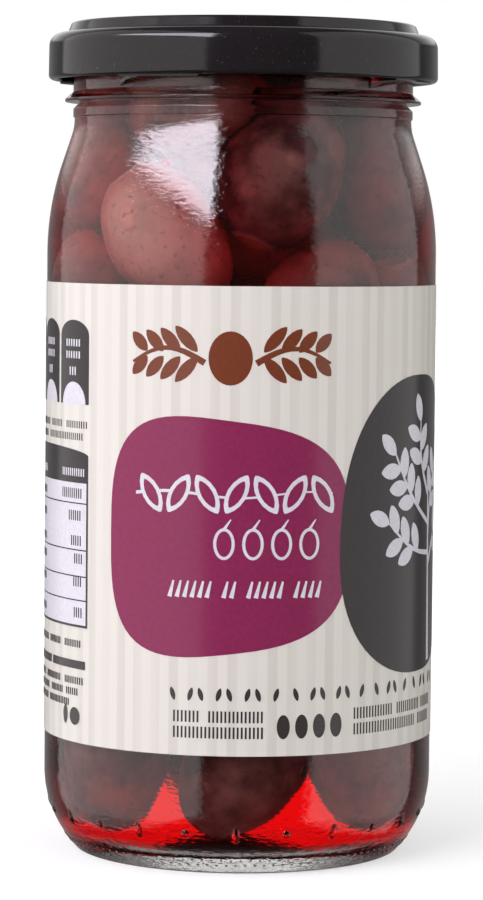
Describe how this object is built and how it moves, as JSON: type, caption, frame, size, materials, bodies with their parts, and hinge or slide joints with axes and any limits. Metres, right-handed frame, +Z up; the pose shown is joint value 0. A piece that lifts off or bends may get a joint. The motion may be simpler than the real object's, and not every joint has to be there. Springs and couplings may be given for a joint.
{
  "type": "jar of olives",
  "caption": "Shut glass jar of dark olives in brine, with a pressed steel twist-off lid and a paper label wrapped once round the body.",
  "frame": {"origin": "on the jar's axis, in the plane of the foot that it stands on", "axes": "+Z up along the jar's axis, towards the lid; -Y is the side with the label's main panel; the label's ends overlap at +Y"},
  "size_m": [0.0668, 0.0669, 0.141],
  "materials": {
    "glass": "gloss",
    "lacquered_steel": "gloss",
    "label_paper": "semi-gloss paper",
    "brine": "clear dark red-brown liquid",
    "olive_skin": "wet olive skin"
  },
  "bodies": {
    "root": {"glass_jar": "glass", "lid": "lacquered_steel", "label": "label_paper", "brine": "brine", "olives": "olive_skin"}
  },
  "joints": []
}
